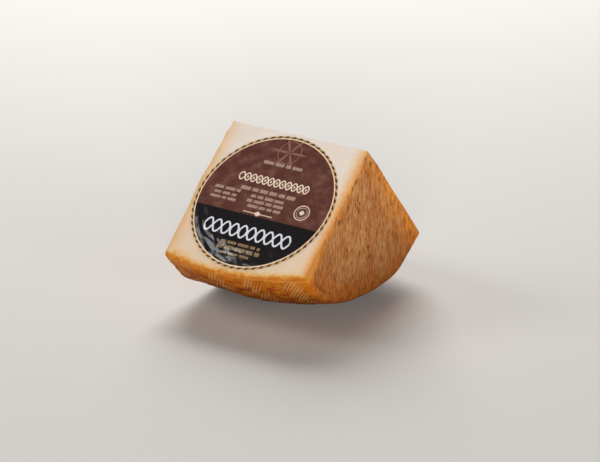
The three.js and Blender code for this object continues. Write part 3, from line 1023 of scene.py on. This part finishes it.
# mm across a cloud of the brown field, and the height of its lower edge over the middle of the label
CLOUD, FIELD_EDGE = 5.263, -9.0
clouds = add(tree, "TexNoise", sockets={"Vector": place_of, "Scale": scale_of(CLOUD), "Detail": 3.0})
brown = add(tree, "ValToRGB", sockets={"Fac": clouds}, stops=[
    (0.42, colour("#5E382F")), (0.58, colour("#6A443A")), (0.7, colour("#7C5246"))])
in_star = add(tree, "MapRange", sockets={"Value": known["star"], "From Min": 0.15, "From Max": -0.15,
                                         "To Max": 0.8})
brown = add(tree, "Mix", {"data_type": "RGBA"}, {0: in_star, 1: brown, 2: colour("#9A6C5E")})
is_brown = add(tree, "MapRange", sockets={"Value": known["v"], "From Min": FIELD_EDGE - 0.2,
                                          "From Max": FIELD_EDGE + 0.2})
printed = add(tree, "Mix", {"data_type": "RGBA"}, {0: is_brown, 1: colour("#1E1B1D"), 2: brown})
print("label, nodes for the fields:", len(tree.nodes))

# %% Label: ticks and ornaments
# mm from tick to tick of a row, with a gap wherever the sine of the way along it is low
TICK_PITCH = 1.05
ticks_turn = add(tree, "Math", {"operation": "MULTIPLY"}, {0: known["u"], 1: 2 * math.pi / TICK_PITCH})
ticks = add(tree, "Math", {"operation": "SINE"}, {0: ticks_turn})
tick_gap = add(tree, "MapRange", sockets={"Value": ticks, "From Min": -1.0, "From Max": -0.45,
                                          "To Min": 0.5, "To Max": 0.0})
ticked = add(tree, "Math", {"operation": "MAXIMUM"}, {0: known["small"], 1: tick_gap})
# distance to the shapes and their ink in the dark field and in the brown one
for shapes, dark_ink, brown_ink in ((ticked, "#E2BA8A", "#F8DABC"), (known["large"], "#E2E2E8", "#F0D8C0")):
    inside = add(tree, "MapRange", sockets={"Value": shapes, "From Min": 0.08, "From Max": -0.08})
    ink = add(tree, "Mix", {"data_type": "RGBA"}, {0: is_brown, 1: colour(dark_ink), 2: colour(brown_ink)})
    printed = add(tree, "Mix", {"data_type": "RGBA"}, {0: inside, 1: printed, 2: ink})
print("label, nodes with the shapes:", len(tree.nodes))

# %% Label: ring, rope and varnish
# how far the wave of the rope's strands shifts per mm of radius, in radians
ROPE_LEAN = 2.6
turn = add(tree, "Math", {"operation": "ARCTAN2"}, {0: known["v"], 1: known["u"]})
rope_turn = add(tree, "Math", {"operation": "MULTIPLY"}, {0: turn, 1: float(SCALLOPS)})
slant = add(tree, "Math", {"operation": "MULTIPLY_ADD"}, {0: known["radius"], 1: ROPE_LEAN, 2: rope_turn})
strand = add(tree, "Math", {"operation": "SINE"}, {0: slant})
strand_share = add(tree, "MapRange", sockets={"Value": strand, "From Min": -1.0, "From Max": 1.0})
rope = add(tree, "ValToRGB", sockets={"Fac": strand_share}, stops=[
    (0.42, colour("#48290E")), (0.65, colour("#825422")), (0.9, colour("#D2A562"))])
# radius in mm from which the pale ring and the rope are printed, and by which the varnish has ended
RING_FROM, ROPE_FROM, VARNISH_END = 38.2, 38.85, 38.9
for start, ring_colour in ((RING_FROM, colour("#F3D2AC")), (ROPE_FROM, rope)):
    outside = add(tree, "MapRange", sockets={"Value": known["radius"], "From Min": start,
                                             "From Max": start + 0.1})
    printed = add(tree, "Mix", {"data_type": "RGBA"}, {0: outside, 1: printed, 2: ring_colour})
roughness = add(tree, "MapRange", sockets={"Value": known["radius"], "From Min": RING_FROM,
                                           "From Max": VARNISH_END, "To Min": 0.14, "To Max": 0.45})
tree.links.new(printed, shader.inputs["Base Color"])
tree.links.new(roughness, shader.inputs["Roughness"])
label.data.materials.append(material)
print("label, nodes:", len(tree.nodes))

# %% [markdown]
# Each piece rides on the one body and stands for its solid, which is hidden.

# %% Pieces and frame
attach(quarter, "root")
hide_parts("cheese_wedge")
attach(label, "root")
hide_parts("label")
print("pieces:", quarter.name, "and", label.name)

# %% [markdown]
# The studio.
#
# A plain pale floor and soft square lights. The main one stands behind the cheese,
# as a window would, and gives it its soft shadow towards the viewer. A low one in
# front lights the faces, a weak one at the right the flat face, and a small one at
# the left catches the creases of the label. The room itself is dim, so that the
# label's dark field stays dark. The camera looks a little down from the front left,
# from far away through a long lens, so that the wedge keeps its proportions.

# %% Floor
FLOOR_HALF = 6.0
floor_mesh = bpy.data.meshes.new("floor")
floor_mesh.from_pydata([(-FLOOR_HALF, -FLOOR_HALF, 0), (FLOOR_HALF, -FLOOR_HALF, 0),
                        (FLOOR_HALF, FLOOR_HALF, 0), (-FLOOR_HALF, FLOOR_HALF, 0)], [], [(0, 1, 2, 3)])
floor = bpy.data.objects.new("floor", floor_mesh)
bpy.context.scene.collection.objects.link(floor)
floor_finish = {"Base Color": colour("#DEDAD5"), "Roughness": 0.8, "Specular IOR Level": 0.1}
floor_mesh.materials.append(new_material("pale_matt_floor", floor_finish)[0])
print("floor, m:", 2 * FLOOR_HALF)

# %% Room
ROOM_STRENGTH = 0.04
world = bpy.data.worlds.new("studio")
bpy.context.scene.world = world
world.use_nodes = True
world.node_tree.nodes["Background"].inputs["Color"].default_value = colour("#FFFFFF")
world.node_tree.nodes["Background"].inputs["Strength"].default_value = ROOM_STRENGTH
print("light of the room:", ROOM_STRENGTH)

# %% Lights
WEDGE_MIDDLE = (0.0, 0.0, 0.04)
# direction, distance and size in metres, power in watts
LIGHTS = {
    "window_light": ((-0.43, 0.63, 0.643), 1.5, 1.0, 24.0),
    "front_light": ((0.55, -0.8, 0.12), 1.5, 0.44, 17.5),
    "right_light": ((1.0, -0.25, 0.15), 1.2, 0.36, 3.6),
    "crease_light": ((-0.65, -0.46, 0.60), 1.3, 0.5, 3.5),
}


def soft_light(name, direction, distance, size, power):
    """A square area light in a direction from the middle of the cheese, turned to face it."""
    data = bpy.data.lights.new(name, "AREA")
    data.shape = "SQUARE"
    data.size = size
    data.energy = power
    light = bpy.data.objects.new(name, data)
    bpy.context.scene.collection.objects.link(light)
    away = np.array(direction) / np.linalg.norm(direction)
    light.location = np.array(WEDGE_MIDDLE) + distance * away
    light.rotation_euler = (math.acos(away[2]), 0.0, math.atan2(away[0], -away[1]))


for name, (direction, distance, size, power) in LIGHTS.items():
    soft_light(name, direction, distance, size, power)
print("lights, watts:", {name: values[-1] for name, values in LIGHTS.items()})

# %% Camera
# turn round the upright, drop below level, metres to the axis, lens in mm and how far the aim is off the axis
CAMERA_TURN = math.radians(34.52)
CAMERA_DROP = math.radians(21.2)
CAMERA_DISTANCE = 1.3356
LENS = 156.0
AIM_RIGHT, AIM_DOWN = -0.0003, 0.0488

camera_data = bpy.data.cameras.new("camera")
camera_data.lens = LENS
camera_data.sensor_width = 36.0
camera = bpy.data.objects.new("camera", camera_data)
bpy.context.scene.collection.objects.link(camera)
sin_turn, cos_turn = math.sin(CAMERA_TURN), math.cos(CAMERA_TURN)
sin_drop, cos_drop = math.sin(CAMERA_DROP), math.cos(CAMERA_DROP)
right = np.array([cos_turn, sin_turn, 0.0])
forward = np.array([-sin_turn * cos_drop, cos_turn * cos_drop, -sin_drop])
down = np.array([sin_turn * sin_drop, -cos_turn * sin_drop, -cos_drop])
axis_middle = np.array([AXIS_X, AXIS_Y, AXIS_HEIGHT]) * MM
camera.location = axis_middle + AIM_RIGHT * right + AIM_DOWN * down - CAMERA_DISTANCE * forward
camera.rotation_euler = (math.pi / 2 - CAMERA_DROP, 0.0, CAMERA_TURN)
bpy.context.scene.camera = camera
bpy.context.scene.view_settings.view_transform = "Standard"
print("camera at, m:", [round(v, 3) for v in camera.location])
